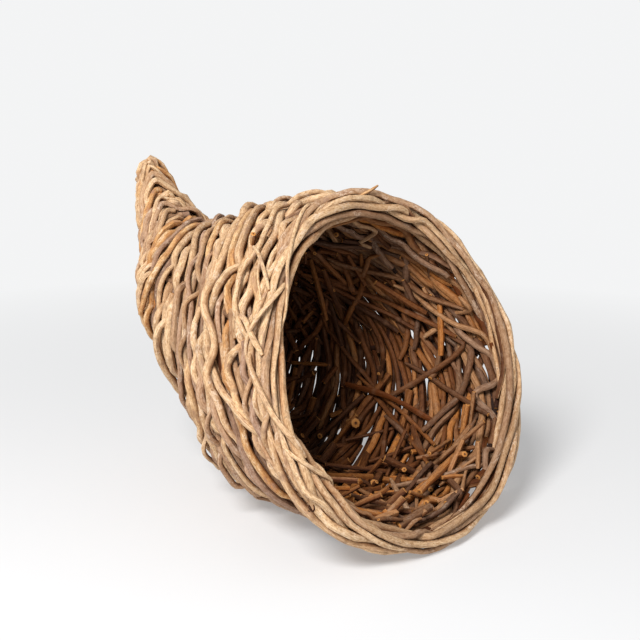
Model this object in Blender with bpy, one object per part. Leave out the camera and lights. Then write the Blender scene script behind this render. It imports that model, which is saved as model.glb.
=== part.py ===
"""Cornucopia basket: a horn woven from round rods, lying on its belly.

The mouth faces -Y, leaning back a little, and the tail curls up towards +Y. An odd
number of stakes runs from the mouth to the tail. Weavers wind round them in one rising
row, outside one stake and inside the next. Because the horn bends upwards its rows fan
out under the belly, and short packing rods fill them there. At the mouth two hoops
grip the stakes and a border of twisted strands closes the edge. At the tail a close
binding coils round the gathered stakes and winds in to shut the tip.

Places on the horn are given by a row and an angle. Row 0 is the ring of the two
hoops, row 1 the end of the stakes, and rows below 0 lie in the collar in front of
the hoops. The angle is 0 at +X, 90 degrees at the top and -90 degrees at the belly.
"""

import math

import bmesh
import bpy
import numpy as np

# The horn over the outside of its weave, in metres
HORN_LENGTH = 0.405
HORN_HEIGHT = 0.287
HORN_WIDTH = 0.293

# Outlines in the plane of symmetry, from the lip to the tail. Each point is a share
# of the length behind the lip and a share of the height above the table.
TOP_SHARES = ((0.31, 0.96), (0.505, 0.925), (0.655, 0.83), (0.82, 0.82), (0.945, 1.0))
BOTTOM_SHARES = (
    (0.0, 0.000),
    (0.17, -0.004),
    (0.32, -0.006),
    (0.48, -0.0115),
    (0.57, 0.026),
    (0.72, 0.25),
    (0.885, 0.585),
    (1.0, 0.87),
)
# Half widths from the lip to the tail, as shares of half the horn's width
WIDTH_SHARES = (1.0, 0.91, 0.625, 0.53, 0.265, 0.11)
# The lower half's width beside the upper half's, from the lip to the tail
LOWER_SHARES = (1.10, 0.945, 0.93, 1.05, 1.0, 1.0)
# How far the top of the lip leans to +X and its belly to -X, and how fast that fades
LEAN = 0.015
LEAN_FADE = 4
# How much further the rows fan out under the belly at the mouth than at the tail
FAN_SHARE = 0.45

# Rods
STAKE_COUNT = 11
STAKE_DIAMETER = 0.0055
STAKE_TIP_DIAMETER = 0.0032
WEAVER_DIAMETER = 0.0070
WEAVER_RODS = 9
PACKING_DIAMETER = 0.0066
HOOP_DIAMETER = 0.0070
STRAND_DIAMETER = 0.0076
STRAND_COUNT = 5
STRAND_TWISTS = 6
BINDING_DIAMETER = 0.0066
BINDING_RODS = 3

# Clearances
FIT_GAP = 0.0003
BORDER_GAP = 0.0008
ROW_GAP = 0.0012
PACKING_GAP = 0.0011
BINDING_GAP = 0.0010
STRAND_SPREAD_SHARE = 1.22

# Where the weave ends and the tail binding starts, as a share of the rows
BINDING_START_SHARE = 0.70
# How much of the way between two stakes a rod runs straight past one of them
FLAT_SHARE = 0.44
# The tip's rise over its radius, and how thin the binding ends
TIP_RISE_SHARE = 1.1
TIP_THIN_SHARE = 0.55
# The eye left at the tip's middle, as a share of the binding's diameter, and how far
# back the tail's direction is measured
TIP_EYE_SHARE = 0.55
TIP_SLOPE_SHARE = 0.05

# The rods that carry the basket are worn flat where they meet the table
WORN_DEPTH = 0.0016
CUTTER_OVERRUN = 0.02
MERGE_DISTANCE = 1e-6

# How finely the rods' lines are drawn
STAKE_POINTS = 15
STRAND_POINTS_PER_TWIST = 7
TIP_POINTS_PER_TURN = 10
TIP_MOST_TURNS = 8
# How finely the surface is measured
TABLE_STEPS = 400
ROW_TABLE_STEPS = 100
CHECK_ANGLES = 50
# A step small beside the horn, for measuring slopes on its surface
SLOPE_STEP = 1e-3

BARK_COLOURS = {
    "tan": (0.50, 0.33, 0.17),
    "straw": (0.60, 0.43, 0.25),
    "brown": (0.33, 0.19, 0.10),
    "orange": (0.46, 0.24, 0.09),
}
WEAVER_COLOURS = ("tan", "straw", "orange")
BINDING_COLOURS = ("orange", "tan", "brown")
PACKING_COLOURS = ("brown", "tan")
BARK_ROUGHNESS = 0.75
FULL_TURN = 2 * math.pi

for old in list(bpy.data.objects):
    bpy.data.objects.remove(old)
PARTS = bpy.data.collections.new("cornucopia_basket")
CUTTERS = bpy.data.collections.new("cutters")
ROOT = bpy.data.objects.new("basket_root", None)
bpy.context.scene.collection.children.link(PARTS)
bpy.context.scene.collection.children.link(CUTTERS)
PARTS.objects.link(ROOT)


def through(points, share):
    """A smooth curve through the points, at shares that count the points evenly."""
    points = np.asarray(points, float)
    share = np.asarray(share, float)
    last = len(points) - 1
    before = 2 * points[0] - points[1]
    after = 2 * points[-1] - points[-2]
    padded = np.concatenate([[before], points, [after]])
    place = np.clip(share, 0, 1) * last
    start = np.minimum(place.astype(int), last - 1)
    part = place - start
    if points.ndim > 1:
        part = part[..., None]
    a, b, c, d = (padded[start + step] for step in range(4))
    bend = 2 * a - 5 * b + 4 * c - d
    twist = 3 * b - a - 3 * c + d
    return (2 * b + (c - a) * part + bend * part**2 + twist * part**3) / 2


class Outline:
    """A smooth curve through a few points, read by share of its own length."""

    def __init__(self, points):
        self.places = through(points, np.linspace(0, 1, TABLE_STEPS))
        lengths = np.linalg.norm(np.diff(self.places, axis=0), axis=1)
        self.shares = np.concatenate([[0], np.cumsum(lengths)]) / lengths.sum()

    def at(self, share):
        return np.stack([np.interp(share, self.shares, line) for line in self.places.T], -1)


def unit(vectors):
    return vectors / np.linalg.norm(vectors, axis=-1, keepdims=True)


TOP = Outline(np.array(TOP_SHARES) * (HORN_LENGTH, HORN_HEIGHT))
BOTTOM = Outline(np.array(BOTTOM_SHARES) * (HORN_LENGTH, HORN_HEIGHT))


def outside(along, theta):
    """The horn's outer surface: rings that join the two outlines."""
    top = TOP.at(along)
    bottom = BOTTOM.at(along + FAN_SHARE * along * (1 - along))
    half_width = through(WIDTH_SHARES, along) * HORN_WIDTH / 2
    middle = (top + bottom) / 2
    half = (top - bottom) / 2
    rise = np.sin(theta) * np.ones(np.shape(along))
    lower = 1 + (through(LOWER_SHARES, along) - 1) * (1 - rise) / 2
    lean = LEAN * np.clip(1 - along, 0, 1) ** LEAN_FADE
    x = half_width * lower * np.cos(theta) + lean * rise
    profile = middle + half * rise[..., None]
    return np.concatenate([x[..., None], profile], -1)


def slopes(surface, row, theta):
    """How the surface moves with the row and with the angle."""
    row_step = surface(row + SLOPE_STEP, theta) - surface(row - SLOPE_STEP, theta)
    turn_step = surface(row, theta + SLOPE_STEP) - surface(row, theta - SLOPE_STEP)
    return row_step / (2 * SLOPE_STEP), turn_step / (2 * SLOPE_STEP)


def row_spacing(surface, row, theta):
    """The distance square to the rows that one whole unit of row takes."""
    row_slope, turn_slope = slopes(surface, row, theta)
    return np.linalg.norm(np.cross(row_slope, unit(turn_slope)), axis=-1)


# The collar: from the lip back to the hoops, the same width all round
STRAND_SPACING = STRAND_SPREAD_SHARE * STRAND_DIAMETER
STRAND_CENTRE_RADIUS = STRAND_SPACING / (2 * math.sin(math.pi / STRAND_COUNT))
BORDER_RADIUS = STRAND_CENTRE_RADIUS + STRAND_DIAMETER / 2
HOOP_OFFSET = (HOOP_DIAMETER + STAKE_DIAMETER) / 2 + FIT_GAP
HOOP_REACH = BORDER_RADIUS + HOOP_DIAMETER / 2 + BORDER_GAP
HOOP_STEP = math.sqrt(HOOP_REACH**2 - HOOP_OFFSET**2)
COLLAR = BORDER_RADIUS + HOOP_STEP
BORDER_ROW = -HOOP_STEP / COLLAR
STAKE_FRONT_ROW = BORDER_ROW * (1 - (BORDER_RADIUS + BORDER_GAP) / HOOP_STEP)

TURN = np.linspace(-math.pi, math.pi, TABLE_STEPS)
COLLAR_SHARES = COLLAR / row_spacing(outside, np.full(TABLE_STEPS, SLOPE_STEP), TURN)


def collar_share(theta):
    return np.interp(theta, TURN, COLLAR_SHARES, period=FULL_TURN)


def shell(row, theta):
    """The outer surface by row, with row 0 at the hoops."""
    front = collar_share(theta)
    along = np.where(row < 0, front * (1 + row), front + (1 - front) * row)
    return outside(along, theta)


def stake_diameter(row):
    return STAKE_DIAMETER + (STAKE_TIP_DIAMETER - STAKE_DIAMETER) * np.clip(row, 0, 1)


def pass_offset(row, diameter):
    """From a stake's centre to the centre of a rod that passes it."""
    return (diameter + stake_diameter(row)) / 2 + FIT_GAP


def outward(row, theta):
    row_slope, turn_slope = slopes(shell, row, theta)
    return unit(np.cross(row_slope, turn_slope))


def wall(row, theta, offset=0.0):
    """The middle of the wall, where the stakes run, moved outwards by the offset."""
    row = np.asarray(row, float)
    theta = np.asarray(theta, float)
    inset = pass_offset(row, WEAVER_DIAMETER) + WEAVER_DIAMETER / 2
    depth = np.asarray(inset - offset)
    return shell(row, theta) - outward(row, theta) * depth[..., None]


def stake_angle(index):
    """Angles of the stakes: one at the top, and the belly midway between two."""
    return FULL_TURN / 4 + np.asarray(index) * FULL_TURN / STAKE_COUNT


# The collar is measured on another scale than the rows, so a stake has a point at row 0
STAKE_ROWS = np.concatenate([[STAKE_FRONT_ROW], np.linspace(0, 1, STAKE_POINTS - 1)])
STAKES = [
    wall(STAKE_ROWS, np.full(STAKE_POINTS, stake_angle(index))) for index in range(STAKE_COUNT)
]


def stake_at(index, row):
    """A stake's centre and direction at a row, on its own straight stretches."""
    points = STAKES[index % STAKE_COUNT]
    slope = np.gradient(points, STAKE_ROWS, axis=0)
    centre = np.array([np.interp(row, STAKE_ROWS, line) for line in points.T])
    direction = np.array([np.interp(row, STAKE_ROWS, line) for line in slope.T])
    return centre, unit(direction)


def tightest_spacing(row):
    """The least row spacing round the ring, on the outside and the inside of the wall."""
    angles = np.linspace(0, FULL_TURN, CHECK_ANGLES)
    rows = np.full(CHECK_ANGLES, row)
    reach = pass_offset(row, WEAVER_DIAMETER)
    offsets = (reach,) if row > BINDING_START_SHARE else (-reach, 0.0, reach)
    spacings = []
    for offset in offsets:

        def layer(at_rows, at_angles, offset=offset):
            return wall(at_rows, at_angles, offset)

        spacings.append(row_spacing(layer, rows, angles).min())
    return min(spacings)


# How far back each row lies, measured at the place where its ring is tightest
ROW_TABLE = np.linspace(SLOPE_STEP, 1 - SLOPE_STEP, ROW_TABLE_STEPS)
TIGHT_TABLE = np.array([tightest_spacing(row) for row in ROW_TABLE])
BACK_TABLE = np.concatenate(
    [[0], np.cumsum((TIGHT_TABLE[1:] + TIGHT_TABLE[:-1]) / 2 * np.diff(ROW_TABLE))]
)


def row_at(back):
    return np.interp(back, BACK_TABLE, ROW_TABLE)


def back_at(row):
    return np.interp(row, ROW_TABLE, BACK_TABLE)


ROW_PITCH = WEAVER_DIAMETER + ROW_GAP
BINDING_PITCH = BINDING_DIAMETER + BINDING_GAP
FIRST_BACK = (HOOP_DIAMETER + WEAVER_DIAMETER) / 2 + ROW_GAP
WEAVE_BACK = back_at(BINDING_START_SHARE)
# Passes are counted from the first row's start at the top stake. Even ones are inside,
# and the weave ends on one.
WEAVE_PASSES = 2 * int((WEAVE_BACK - FIRST_BACK) / ROW_PITCH * STAKE_COUNT / 2)
BINDING_BACK = FIRST_BACK + WEAVE_PASSES * ROW_PITCH / STAKE_COUNT
BINDING_PASSES = int((BACK_TABLE[-1] - BINDING_BACK) / BINDING_PITCH * STAKE_COUNT) - 1


def weave_row(index):
    """The row of the weave at a count of passes, which may be a fraction."""
    woven = np.minimum(index, WEAVE_PASSES)
    bound = index - woven
    back = FIRST_BACK + (woven * ROW_PITCH + bound * BINDING_PITCH) / STAKE_COUNT
    return row_at(back)


def pass_points(index, rows, side, diameter):
    """Middle of a pass, the rod's direction there and the way to the next stake.

    rows gives the row at any count of passes, and side is 1 outside the stake, -1 inside.
    """
    row = float(rows(index))
    centre, stake_direction = stake_at(index, row)
    before, after = (
        wall(rows(index + step), stake_angle(index + step)) for step in (-0.5, 0.5)
    )
    span = np.linalg.norm(after - before)
    direction = unit(after - before)
    out = unit(np.cross(direction, stake_direction))
    if np.dot(out, outward(row, stake_angle(index))) < 0:
        out = -out
    return centre + side * out * pass_offset(row, diameter), direction, span


def rod_past_stakes(passes, rows, sides, diameter, ends):
    """Points of a rod that runs straight past each stake and slants between them.

    ends gives how far the rod runs before the first pass and after the last, or None
    where it runs on as far as at the other passes.
    """
    points = []
    for count, (index, side) in enumerate(zip(passes, sides)):
        middle, direction, span = pass_points(index, rows, side, diameter)
        reach = span * FLAT_SHARE / 2
        lead = reach
        trail = reach
        if count == 0 and ends[0] is not None:
            lead = ends[0]
        if count == len(passes) - 1 and ends[1] is not None:
            trail = ends[1]
        points.append(middle - direction * lead)
        points.append(middle + direction * trail)
    return points


def make_material(name, colour):
    material = bpy.data.materials.new(name)
    material.use_nodes = True
    shader = material.node_tree.nodes["Principled BSDF"]
    shader.inputs["Base Color"].default_value = (*colour, 1.0)
    shader.inputs["Roughness"].default_value = BARK_ROUGHNESS
    shader.inputs["Metallic"].default_value = 0.0
    material.diffuse_color = (*colour, 1.0)
    return material


def make_rod(name, points, diameter, colour, thin=None, closed=False):
    """A round rod along the points, with its ends capped."""
    data = bpy.data.curves.new(name, "CURVE")
    data.dimensions = "3D"
    data.bevel_depth = diameter / 2
    data.bevel_resolution = 1
    data.use_fill_caps = True
    spline = data.splines.new("POLY")
    spline.points.add(len(points) - 1)
    for count, (point, place) in enumerate(zip(spline.points, points)):
        point.co = (*place, 1.0)
        if thin is not None:
            point.radius = thin[count]
    spline.use_cyclic_u = closed
    spline.use_smooth = True
    data.materials.append(make_material(name + "_bark", BARK_COLOURS[colour]))
    rod = bpy.data.objects.new(name, data)
    PARTS.objects.link(rod)
    rod.parent = ROOT
    return rod


def make_stakes():
    """The stakes, numbered from the top one."""
    for index, points in enumerate(STAKES):
        thin = stake_diameter(STAKE_ROWS) / STAKE_DIAMETER
        make_rod(f"stake_{index + 1:02d}", points, STAKE_DIAMETER, "brown", thin)


def make_weavers():
    """The weavers follow one another, each butted on the last behind a stake."""
    bounds = [
        2 * round(WEAVE_PASSES * count / WEAVER_RODS / 2) for count in range(WEAVER_RODS + 1)
    ]
    # A rod starts and stops just short of the middle of its first and last pass
    ends = (-FIT_GAP, -FIT_GAP)
    for first, last, number in zip(bounds, bounds[1:], range(WEAVER_RODS)):
        passes = range(first, last + 1)
        sides = [1 if index % 2 else -1 for index in passes]
        points = rod_past_stakes(passes, weave_row, sides, WEAVER_DIAMETER, ends)
        colour = WEAVER_COLOURS[number % len(WEAVER_COLOURS)]
        make_rod(f"weaver_{number + 1:02d}", points, WEAVER_DIAMETER, colour)


def ring_points(ring_row, side, diameter):
    """A hoop against the stakes, straight past each of them."""

    def rows(index):
        return np.full(np.shape(index), ring_row)

    passes = range(STAKE_COUNT)
    return rod_past_stakes(passes, rows, [side] * STAKE_COUNT, diameter, (None, None))


def make_hoops():
    for name, side in (("rim_hoop_outer", 1), ("rim_hoop_inner", -1)):
        make_rod(name, ring_points(0.0, side, HOOP_DIAMETER), HOOP_DIAMETER, "tan", closed=True)


def make_border():
    """The strands, twisted round one another in front of the stakes' ends."""
    steps = STRAND_TWISTS * STRAND_POINTS_PER_TWIST
    for strand in range(STRAND_COUNT):
        start = stake_angle(0) + FULL_TURN * strand / STRAND_COUNT
        theta = start + np.linspace(0, FULL_TURN, steps + 1)
        row = np.full(len(theta), BORDER_ROW)
        core = wall(row, theta)
        normal = outward(row, theta)
        tangent = unit(slopes(wall, row, theta)[1])
        forward = np.cross(tangent, normal)
        turn = STRAND_TWISTS * theta + FULL_TURN * strand / STRAND_COUNT
        spoke = normal * np.cos(turn)[:, None] + forward * np.sin(turn)[:, None]
        points = core + spoke * STRAND_CENTRE_RADIUS
        # Its two ends meet with a small gap
        points[0] += unit(points[1] - points[0]) * FIT_GAP
        points[-1] += unit(points[-2] - points[-1]) * FIT_GAP
        make_rod(f"rim_strand_{strand + 1}", points, STRAND_DIAMETER, "straw")


def tip_points(last):
    """The binding's last turns, winding in over the stakes' ends."""
    step = FULL_TURN / TIP_POINTS_PER_TURN
    last_row = np.ones(TIP_POINTS_PER_TURN * TIP_MOST_TURNS)
    turn = np.arange(1, len(last_row) + 1) * step
    theta = stake_angle(last) + turn
    offset = pass_offset(1.0, BINDING_DIAMETER)
    core = wall(last_row, theta).mean(axis=0)
    radius = np.linalg.norm(wall(last_row, theta, offset) - core, axis=1).mean()
    # The points lie a little further out, so that the straight parts clear the stakes
    bulge = radius * (1 / math.cos(step / 2) - 1)
    rim = wall(last_row, theta, offset + bulge)
    axis = unit(core - wall(last_row - TIP_SLOPE_SHARE, theta).mean(axis=0))
    rise = turn / FULL_TURN * BINDING_PITCH / radius
    eye = BINDING_DIAMETER * TIP_EYE_SHARE
    kept = radius * np.cos(rise) > eye
    kept &= rise < FULL_TURN / 4
    lift = axis * (radius * TIP_RISE_SHARE * np.sin(rise))[:, None]
    points = core + (rim - core) * np.cos(rise)[:, None] + lift
    return points[kept]


def make_binding():
    """The rods that coil outside every stake of the tail, the last one up to the tip."""
    bounds = [
        WEAVE_PASSES + 1 + round(BINDING_PASSES * count / BINDING_RODS)
        for count in range(BINDING_RODS + 1)
    ]
    for first, last, number in zip(bounds, bounds[1:], range(BINDING_RODS)):
        passes = range(first, last + 1)
        to_tip = number == BINDING_RODS - 1
        ends = (-FIT_GAP, None if to_tip else -FIT_GAP)
        sides = [1] * len(passes)
        points = rod_past_stakes(passes, weave_row, sides, BINDING_DIAMETER, ends)
        thin = np.ones(len(points))
        if to_tip:
            tip = tip_points(last + FLAT_SHARE / 2)
            points.extend(tip)
            thin = np.concatenate([thin, np.linspace(1, TIP_THIN_SHARE, len(tip))])
        colour = BINDING_COLOURS[number % len(BINDING_COLOURS)]
        make_rod(f"tail_binding_{number + 1}", points, BINDING_DIAMETER, colour, thin)


def packing_rods():
    """Short rods under the belly, in each gap that is wide enough between two rows.

    Yields the passes of each rod, the row it keeps at any count of passes and the side
    on which it passes each stake.
    """
    pitch = (PACKING_DIAMETER + WEAVER_DIAMETER) / 2 + PACKING_GAP
    belly = STAKE_COUNT / 2
    for turn in range(WEAVE_PASSES // STAKE_COUNT):

        def lower(index):
            return weave_row(index - STAKE_COUNT) if turn else 0.0

        def width(index):
            low = lower(index)
            high = weave_row(index)
            middle = np.array([(low + high) / 2])
            theta = np.array([stake_angle(index)])
            return float(row_spacing(wall, middle, theta)[0] * (high - low))

        centre = turn * STAKE_COUNT + belly
        most = int(width(centre) / pitch) - 1
        for place in range(1, most + 1):

            def step(index, most=most):
                return max(pitch, width(index) / (most + 1))

            def rows(index, place=place, step=step):
                low = lower(index)
                return low + (weave_row(index) - low) * place * step(index) / width(index)

            def fits(index, place=place, step=step):
                return place * step(index) + pitch <= width(index)

            # The rod runs from the last pass before the belly where it doesn't fit to the
            # first one after it, and keeps clear of both
            reach = range(turn * STAKE_COUNT + 1, (turn + 1) * STAKE_COUNT)
            start = [index for index in reach if index < centre]
            end = [index for index in reach if index > centre]
            before = [index for index in start if not fits(index - FLAT_SHARE / 2)]
            after = [index for index in end if not fits(index + FLAT_SHARE / 2)]
            first = max(before, default=reach[0] - 1) + 1
            last = min(after, default=reach[-1] + 1) - 1
            passes = range(first, last + 1)
            sides = [-1 if (index + place) % 2 else 1 for index in passes]
            if len(passes) > 1:
                yield passes, rows, sides


def make_packing():
    """The packing rods, numbered from the mouth."""
    for count, (passes, rows, sides) in enumerate(packing_rods()):
        points = rod_past_stakes(passes, rows, sides, PACKING_DIAMETER, (None, None))
        colour = PACKING_COLOURS[count % len(PACKING_COLOURS)]
        make_rod(f"packing_rod_{count + 1:02d}", points, PACKING_DIAMETER, colour)


def corners(rod):
    """The rod's points, as modelled so far."""
    graph = bpy.context.evaluated_depsgraph_get()
    shaped = rod.evaluated_get(graph)
    mesh = shaped.to_mesh()
    places = np.array([vertex.co for vertex in mesh.vertices])
    shaped.to_mesh_clear()
    return places


def as_mesh(rod):
    """The rod as a mesh object of the same name, with its caps welded on."""
    graph = bpy.context.evaluated_depsgraph_get()
    mesh = bpy.data.meshes.new_from_object(rod.evaluated_get(graph))
    shape = bmesh.new()
    shape.from_mesh(mesh)
    bmesh.ops.remove_doubles(shape, verts=shape.verts, dist=MERGE_DISTANCE)
    bmesh.ops.recalc_face_normals(shape, faces=shape.faces)
    shape.to_mesh(mesh)
    shape.free()
    name = rod.name
    place = rod.matrix_world.copy()
    bpy.data.objects.remove(rod)
    solid = bpy.data.objects.new(name, mesh)
    PARTS.objects.link(solid)
    solid.parent = ROOT
    solid.matrix_world = place
    return solid


def make_cutter(low, high):
    """A block from the low corner to the high corner, which cuts and isn't shown."""
    shape = bmesh.new()
    bmesh.ops.create_cube(shape, size=1.0)
    bmesh.ops.scale(shape, vec=high - low, verts=shape.verts)
    bmesh.ops.translate(shape, vec=(high + low) / 2, verts=shape.verts)
    mesh = bpy.data.meshes.new("table_cutter")
    shape.to_mesh(mesh)
    shape.free()
    cutter = bpy.data.objects.new("table_cutter", mesh)
    cutter.hide_render = True
    cutter.display_type = "WIRE"
    CUTTERS.objects.link(cutter)
    cutter.parent = ROOT
    return cutter


def settle():
    """Wears the rods under the belly flat and stands the basket on its origin."""
    rods = [rod for rod in PARTS.objects if rod.type == "CURVE"]
    places = {rod.name: corners(rod) for rod in rods}
    every = np.concatenate(list(places.values()))
    low = every.min(axis=0)
    high = every.max(axis=0)
    floor = low[2] + WORN_DEPTH
    overrun = np.full(3, CUTTER_OVERRUN)
    top = np.array([high[0], high[1], floor])
    cutter = make_cutter(low - overrun, top + overrun * (1, 1, 0))
    for rod in rods:
        if places[rod.name][:, 2].min() < floor:
            worn = as_mesh(rod).modifiers.new("worn_flat", "BOOLEAN")
            worn.operation = "DIFFERENCE"
            worn.solver = "EXACT"
            worn.object = cutter
    ROOT.location = (-(low[0] + high[0]) / 2, -(low[1] + high[1]) / 2, -floor)


def main():
    make_stakes()
    make_weavers()
    make_packing()
    make_hoops()
    make_border()
    make_binding()
    settle()
    print("turns of weave", WEAVE_PASSES / STAKE_COUNT)
    print("turns of binding", BINDING_PASSES / STAKE_COUNT)


main()
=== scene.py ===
# %% [markdown]
# A cornucopia is a horn of woven twigs that lies on its belly. This lesson dresses the
# plain rods of the packed model with twigs that have bark, knots and cut ends. The rods
# load first as a fixed frame, and every new piece is laid where they are.

# %% Load the packed model
import math

import bpy
import numpy as np
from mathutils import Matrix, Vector


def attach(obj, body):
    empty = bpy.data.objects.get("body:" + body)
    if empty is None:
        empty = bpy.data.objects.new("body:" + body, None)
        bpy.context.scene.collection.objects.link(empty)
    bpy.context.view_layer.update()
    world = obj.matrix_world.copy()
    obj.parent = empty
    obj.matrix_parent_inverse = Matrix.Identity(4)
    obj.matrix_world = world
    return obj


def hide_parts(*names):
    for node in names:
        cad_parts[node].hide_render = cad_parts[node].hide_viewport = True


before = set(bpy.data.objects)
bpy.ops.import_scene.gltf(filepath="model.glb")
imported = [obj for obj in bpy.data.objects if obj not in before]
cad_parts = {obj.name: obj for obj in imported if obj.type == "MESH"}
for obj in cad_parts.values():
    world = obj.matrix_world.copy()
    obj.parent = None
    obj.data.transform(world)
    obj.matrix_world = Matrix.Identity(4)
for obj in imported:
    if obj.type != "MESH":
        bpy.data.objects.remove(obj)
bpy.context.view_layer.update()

dice = np.random.default_rng(11)
FULL_TURN = 2 * math.pi

# %% [markdown]
# The horn is a bent cone with an oval mouth. Its shape comes from two outlines in the
# plane of symmetry, one over the top and one under the belly, and from its half width.
# Rings join the two outlines. Because the belly line is longer than the top line, the
# rings fan out below and crowd together above, as the rows do on the real basket.

# %% The outlines of the horn
HORN_LENGTH = 0.405
HORN_HEIGHT = 0.287
HORN_WIDTH = 0.293
TOP_SHARES = ((0.31, 0.96), (0.505, 0.925), (0.655, 0.83), (0.82, 0.82), (0.945, 1.0))
BOTTOM_SHARES = ((0.0, 0.000), (0.17, -0.004), (0.32, -0.006), (0.48, -0.0115),
                 (0.57, 0.026), (0.72, 0.25), (0.885, 0.585), (1.0, 0.87))
WIDTH_SHARES = (1.0, 0.91, 0.625, 0.53, 0.265, 0.11)
LOWER_SHARES = (1.10, 0.945, 0.93, 1.05, 1.0, 1.0)
LEAN = 0.015
LEAN_FADE = 4
FAN_SHARE = 0.45
HORN_PLACE = np.array([0.00111, -0.20451, 0.00093])
STEP = 1e-3


def through(points, share):
    """A smooth curve through the points, at shares that count the points evenly."""
    points = np.asarray(points, float)
    share = np.asarray(share, float)
    last = len(points) - 1
    padded = np.concatenate([[2 * points[0] - points[1]], points, [2 * points[-1] - points[-2]]])
    place = np.clip(share, 0, 1) * last
    start = np.minimum(place.astype(int), last - 1)
    part = place - start
    if points.ndim > 1:
        part = part[..., None]
    a, b, c, d = (padded[start + step] for step in range(4))
    bend = 2 * a - 5 * b + 4 * c - d
    turn = 3 * b - a - 3 * c + d
    return (2 * b + (c - a) * part + bend * part**2 + turn * part**3) / 2


def unit(vectors):
    return vectors / np.maximum(np.linalg.norm(vectors, axis=-1, keepdims=True), 1e-12)


def even_line(shares):
    """An outline as places at even shares of its own length."""
    places = through(np.array(shares) * (HORN_LENGTH, HORN_HEIGHT), np.linspace(0, 1, 400))
    lengths = np.linalg.norm(np.diff(places, axis=0), axis=1)
    return np.concatenate([[0], np.cumsum(lengths)]) / lengths.sum(), places


TOP_LINE = even_line(TOP_SHARES)
BOTTOM_LINE = even_line(BOTTOM_SHARES)


def on_line(line, share):
    return np.stack([np.interp(share, line[0], column) for column in line[1].T], -1)


def outside(along, theta):
    """The horn's outer surface. along runs from the lip to the tip."""
    top = on_line(TOP_LINE, along)
    bottom = on_line(BOTTOM_LINE, along + FAN_SHARE * along * (1 - along))
    half_width = through(WIDTH_SHARES, along) * HORN_WIDTH / 2
    middle = (top + bottom) / 2
    half = (top - bottom) / 2
    rise = np.sin(theta) * np.ones(np.shape(along))
    lower = 1 + (through(LOWER_SHARES, along) - 1) * (1 - rise) / 2
    lean = LEAN * np.clip(1 - along, 0, 1) ** LEAN_FADE
    x = half_width * lower * np.cos(theta) + lean * rise
    profile = middle + half * rise[..., None]
    return np.concatenate([x[..., None], profile], -1) + HORN_PLACE


print("lip", outside(np.array(0.0), np.array(0.0)).round(3))

# %% [markdown]
# A place in the wall is given by a row, an angle and a height above the middle of the
# wall, where the stakes run. Row 0 is at the hoops of the rim, rows below 0 lie in the
# collar in front of them, and row 1 is the end of the stakes. Angle 0 is the right side
# seen from the mouth, and a quarter turn is the top. Past row 1 the wall closes in a dome.

# %% Places in the wall
COLLAR = 0.02627
WALL_DEPTH = 0.01005
LAST_ROW = 0.972
DOME_ROWS = 0.10
DOME_RISE = 0.95
ring_angles = np.linspace(-math.pi, math.pi, 400)


def slopes(surface, row, theta):
    """How the surface moves with the row and with the angle."""
    by_row = (surface(row + STEP, theta) - surface(row - STEP, theta)) / (2 * STEP)
    by_turn = (surface(row, theta + STEP) - surface(row, theta - STEP)) / (2 * STEP)
    return by_row, by_turn


front_by_row, front_by_turn = slopes(outside, np.full(400, STEP), ring_angles)
collar_table = COLLAR / np.linalg.norm(np.cross(front_by_row, unit(front_by_turn)), axis=-1)


def shell(row, theta):
    front = np.interp(theta, ring_angles, collar_table, period=FULL_TURN)
    return outside(np.where(row < 0, front * (1 + row), front + (1 - front) * row), theta)


def plain_wall(row, theta, height):
    by_row, by_turn = slopes(shell, row, theta)
    out = unit(np.cross(by_row, by_turn))
    return shell(row, theta) - out * (WALL_DEPTH - height)[..., None], out


def ring_middle(row):
    places, _ = plain_wall(np.full(60, row), np.linspace(0, FULL_TURN, 61)[:60], np.zeros(60))
    return places.mean(axis=0)


TIP_MIDDLE = ring_middle(LAST_ROW)
TIP_WAY = unit(TIP_MIDDLE - ring_middle(LAST_ROW - 0.05))


def wall(row, theta, height=0.0):
    """A place in the wall and the way out of it."""
    row, theta, height = np.broadcast_arrays(np.asarray(row, float), theta, height)
    places, out = plain_wall(np.clip(row, -0.99, LAST_ROW), theta, height)
    # Past the stakes' ends the rings close over the tip
    turn = np.clip((row - LAST_ROW) / DOME_ROWS, 0, 1)[..., None] * math.pi / 2
    spoke = places - TIP_MIDDLE
    spoke_length = np.linalg.norm(spoke, axis=-1, keepdims=True)
    dome = TIP_MIDDLE + spoke * np.cos(turn) + TIP_WAY * spoke_length * DOME_RISE * np.sin(turn)
    return dome, unit(out * np.cos(turn) + TIP_WAY * np.sin(turn))


print("tip", wall(2.0, 0.0, 0.005)[0].round(3))

# %% [markdown]
# A twig is a tube that is never quite straight or round. One is modelled here as by
# hand: a cylinder, cut into rings along its length, with each end inset for a worn edge,
# for the cut wood and for its sunken pith. Every twig of the basket is then a copy of it
# with its own mesh, whose rings are bent onto the twig's own course.

# %% One straight twig
SIDES = 8
RING_COUNTS = (3, 4, 5, 6, 8, 10, 13, 17, 22, 29, 38, 50, 66, 88, 116, 154)
END_INSETS = ((0.20, 0.14), (0.52, 0.04), (0.12, -0.20))
patterns = {}


def deselect_all():
    for thing in list(bpy.context.selected_objects):
        thing.select_set(False)


def select_in(mesh, chosen_edges=(), chosen_faces=()):
    """Selects these edges or faces and nothing else, and goes back to edit mode."""
    bpy.ops.mesh.select_all(action="DESELECT")
    bpy.ops.object.mode_set(mode="OBJECT")
    for index in chosen_edges:
        mesh.edges[index].select = True
    for index in chosen_faces:
        mesh.polygons[index].select = True
    bpy.ops.object.mode_set(mode="EDIT")


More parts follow.
